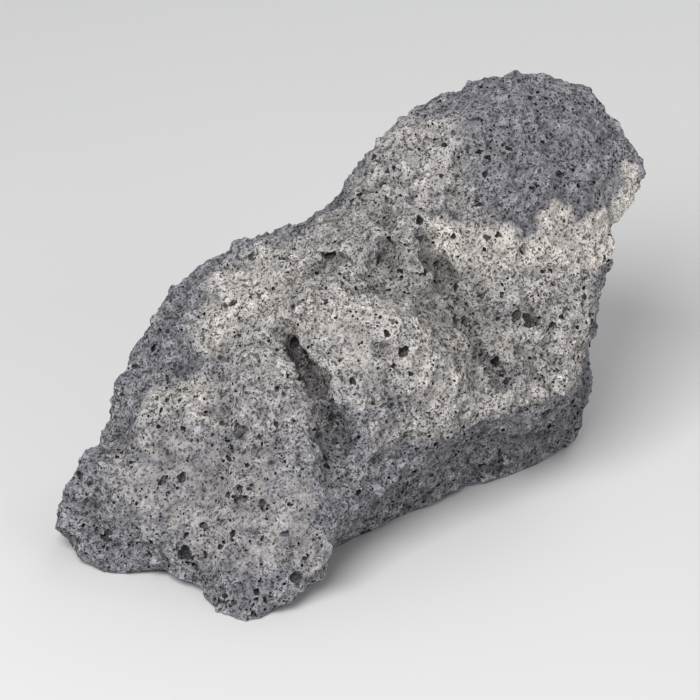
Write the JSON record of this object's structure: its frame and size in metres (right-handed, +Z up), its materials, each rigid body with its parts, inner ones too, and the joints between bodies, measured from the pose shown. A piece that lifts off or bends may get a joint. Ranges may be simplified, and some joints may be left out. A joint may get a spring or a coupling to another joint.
{
  "type": "lava rock",
  "caption": "Irregular lump of grey vesicular lava rock, low at one end and humped at the other, lying on a flat broken sole; for aquariums, gardens, fire bowls or scenery.",
  "frame": {"origin": "on the surface that the rock lies on, under the middle of its bounding box", "axes": "+X along the rock's length, from the low nose to the tall end; +Z up from the flat sole; +Y across, towards the steep back"},
  "size_m": [0.165, 0.096, 0.091],
  "materials": {
    "lava": "bare, dull and full of fine gas holes"
  },
  "bodies": {
    "root": {"lava_rock": "lava"}
  },
  "joints": []
}
